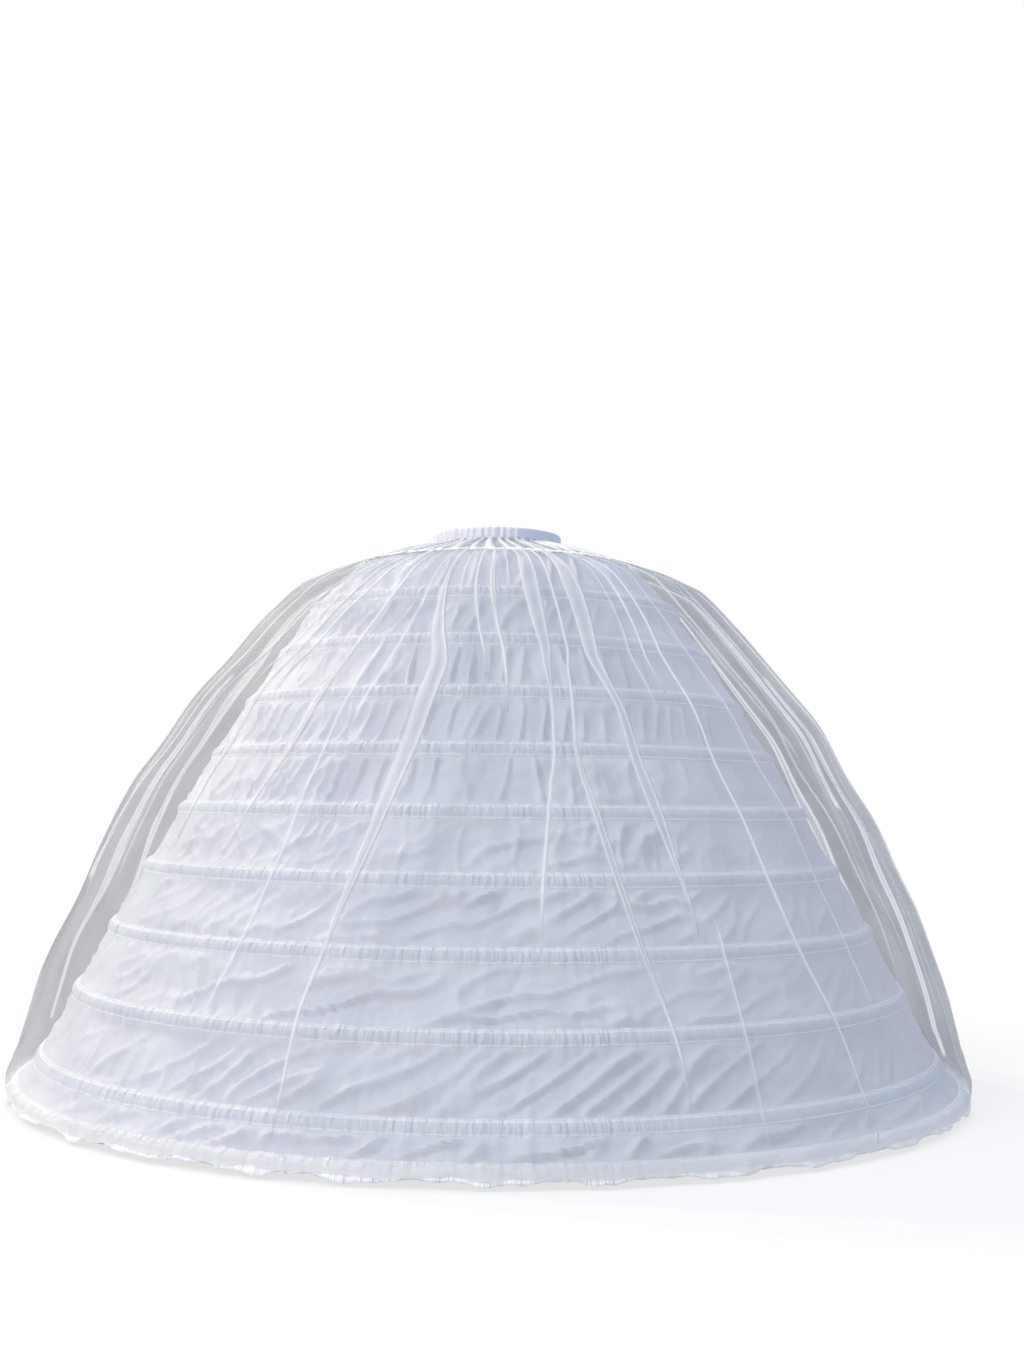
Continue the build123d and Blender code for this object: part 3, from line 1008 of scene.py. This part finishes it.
def make_net():
    """One sheet of net round the whole skirt, with its folds lying on it."""
    rows = net_rows()
    down, out = net_profile(rows)
    radius, _ = on_lining(down, out)
    turn, layer, line, single = net_columns(rows, radius)
    part = rows[:, None]
    out, gathered = net_relief(turn, part, out[:, None])
    # Painted highlight: gather crests under the seam, the hem fold and the seam line count as
    # folded net, so they are denser and painted near-white; the seam line paints over the shade
    # there.
    line = np.maximum(line, 0.75 * gathered)
    line = np.maximum(line, 0.45 * fade(part, 0.988, 0.998))
    line = np.maximum(line, 0.80 * fade(part, 0.012, 0.004))
    single = single * (1 - np.clip(1.5 * line, 0, 1))
    droop = 0.0025 * hem_waves.wave(turn) + 0.0040 * Ripple(42, 107).wave(turn)
    ring, height = on_lining(down[:, None] + fade(part, 0.97, 1.0) * droop, out + layer)
    points = turned(turn, ring, height)
    full = np.concatenate((turn, turn[:, :1] + 360), axis=1)
    gaps = np.abs(np.diff(full, axis=1)) / np.degrees(1 / radius)[:, None]
    along = np.concatenate((np.zeros((len(rows), 1)), np.cumsum(gaps, axis=1)), axis=1)
    chart = np.stack(np.broadcast_arrays(along, part * reach[-1] * 1.06), axis=-1)
    piece = cloth_piece("net_cloth", points, chart, closed=True,
                        marks={"fold_density_and_highlight": line, "single": single})
    settle(piece, white_net, "net_overlay")


make_waistband()
make_yoke()
make_lining("lining_front", (-SIDE_SEAM, SIDE_SEAM), (238, 410), 301)
make_lining("lining_back_left", (-180.0, -SIDE_SEAM), (130, 230), 302)
make_lining("lining_back_right", (SIDE_SEAM, 180.0), (130, 230), 303)
for number in range(HOOPS + 1):
    make_casing(number)
make_net()


# -------- pieces that stay from the frame

def finish_nodes(starts, material):
    """Give the nodes whose names start in a certain way their material."""
    for name, piece in nodes.items():
        if name.startswith(starts):
            piece.data.materials.clear()
            piece.data.materials.append(material)


finish_nodes(("hoop_", "hem_hoop"), boning_material())
finish_nodes(("hoop_sleeve", "hem_hoop_sleeve"), steel_material())
finish_nodes(("waist_elastic",), elastic_material())


# -------- floor, light and camera

def make_floor():
    """A plain pale floor just under the hem, a little brighter to the camera."""
    bpy.ops.object.select_all(action="DESELECT")
    bpy.ops.mesh.primitive_plane_add(size=60, location=(0, 0, cad_box[0].z - 0.012))
    floor = bpy.context.active_object
    floor.name = "studio_floor"
    material, tree, shader = start_material("pale floor", 0.9)
    shader.inputs["Base Color"].default_value = (0.25, 0.25, 0.25, 1)
    shader.inputs["Specular IOR Level"].default_value = 0.0
    path = add_node(tree, "ShaderNodeLightPath")
    strength = reckon(tree, "MULTIPLY_ADD", path.outputs["Is Camera Ray"], 0.34, 0.35)
    glow = add_node(tree, "ShaderNodeEmission", {"Color": (1, 1, 1, 1), "Strength": strength})
    both = add_node(tree, "ShaderNodeAddShader", {0: shader.outputs[0], 1: glow.outputs[0]})
    put(tree, tree.nodes["Material Output"].inputs["Surface"], both.outputs[0])
    floor.data.materials.append(material)


def add_sun(name, energy, spread, colour, turn, rise):
    """A distant light that stands at a turn from the front and a rise above level."""
    lamp = bpy.data.lights.new(name, "SUN")
    lamp.energy = energy
    lamp.angle = math.radians(spread)
    lamp.color = colour
    turn = math.radians(turn)
    rise = math.radians(rise)
    level = math.cos(rise)
    aim = Vector((math.sin(turn) * level, -math.cos(turn) * level, math.sin(rise)))
    light = bpy.data.objects.new(name, lamp)
    light.rotation_euler = aim.to_track_quat("Z", "Y").to_euler()
    bpy.context.scene.collection.objects.link(light)


def make_light():
    """A warm key from behind the left, a soft fill, and a sky that is cooler on the right."""
    add_sun("key_light", energy=1.45, spread=3, colour=(1.0, 0.88, 0.60), turn=-128, rise=38)
    add_sun("soft_fill", energy=1.55, spread=25, colour=(0.95, 0.955, 0.985), turn=-58, rise=42)
    world = bpy.data.worlds.new("studio_sky")
    world.use_nodes = True
    bpy.context.scene.world = world
    tree = world.node_tree
    tree.nodes.clear()
    seen = add_node(tree, "ShaderNodeBackground", {"Color": (1, 1, 1, 1), "Strength": 1.0})
    way = sockets_of(tree, add_node(tree, "ShaderNodeTexCoord").outputs["Generated"])
    strength = ramp(tree, way["Z"], -0.1, 1.0, 0.44, 0.84)
    side = ramp(tree, way["X"], -0.4, 0.7)
    sky = blend_colours(tree, side, (0.93, 0.93, 0.96, 1), (0.78, 0.89, 1.10, 1))
    strength = reckon(tree, "MULTIPLY_ADD", side, 0.17, strength)
    fill = add_node(tree, "ShaderNodeBackground", {"Color": sky, "Strength": strength})
    path = add_node(tree, "ShaderNodeLightPath")
    both = add_node(tree, "ShaderNodeMixShader", {0: path.outputs["Is Camera Ray"],
                                                  1: fill.outputs[0], 2: seen.outputs[0]})
    add_node(tree, "ShaderNodeOutputWorld", {"Surface": both.outputs[0]})


CAMERA_PLACE = (0.033, -3.037, -0.501)
CAMERA_TILT = 94.23     # degrees up from straight down
CAMERA_ROLL = 0.65
CAMERA_LENS = 42.5


def make_camera():
    camera = bpy.data.cameras.new("camera")
    camera.lens = CAMERA_LENS
    camera.clip_end = 200
    eye = bpy.data.objects.new("camera", camera)
    tilt = Matrix.Rotation(math.radians(CAMERA_TILT), 4, "X")
    roll = Matrix.Rotation(math.radians(CAMERA_ROLL), 4, "Z")
    eye.matrix_world = Matrix.Translation(CAMERA_PLACE) @ tilt @ roll
    bpy.context.scene.collection.objects.link(eye)
    bpy.context.scene.camera = eye


make_floor()
make_light()
make_camera()
bpy.context.scene.view_settings.view_transform = "Standard"
